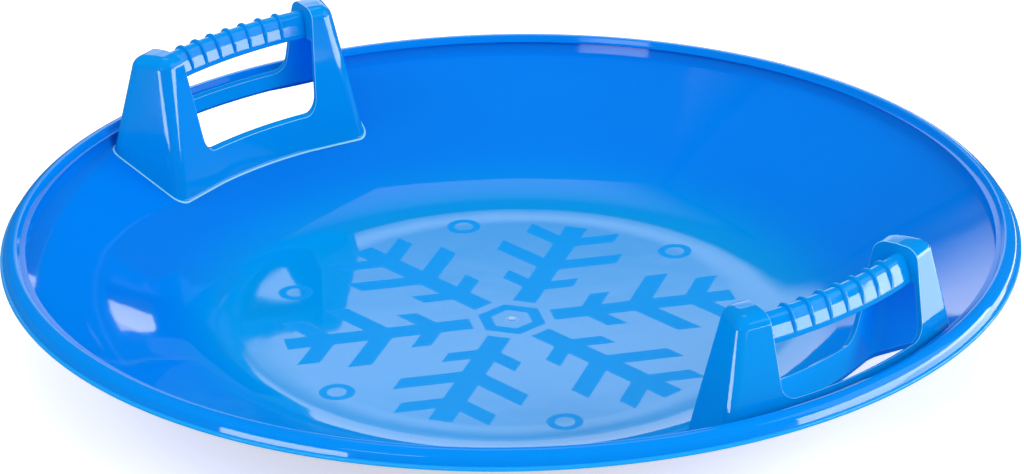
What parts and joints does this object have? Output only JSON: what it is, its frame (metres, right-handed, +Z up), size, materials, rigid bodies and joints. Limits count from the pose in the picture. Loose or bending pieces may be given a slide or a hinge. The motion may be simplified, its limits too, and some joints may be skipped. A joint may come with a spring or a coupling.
{
  "type": "saucer sled",
  "caption": "Round plastic saucer sled: a shallow dish with a flat seat, a raised rim and hollow grab handles with ribbed grips at opposite sides.",
  "frame": {"origin": "on the ground, under the middle of the seat", "axes": "+Z up, the handles stand on +X and -X, so the rider faces +Y or -Y"},
  "size_m": [0.59, 0.59, 0.117],
  "materials": {
    "dish_plastic": "glossy moulded",
    "handle_plastic": "glossy moulded",
    "grip_plastic": "glossy moulded"
  },
  "bodies": {
    "root": {"dish": "dish_plastic", "right_handle_frame": "handle_plastic", "left_handle_frame": "handle_plastic", "right_grip": "grip_plastic", "left_grip": "grip_plastic"}
  },
  "joints": []
}
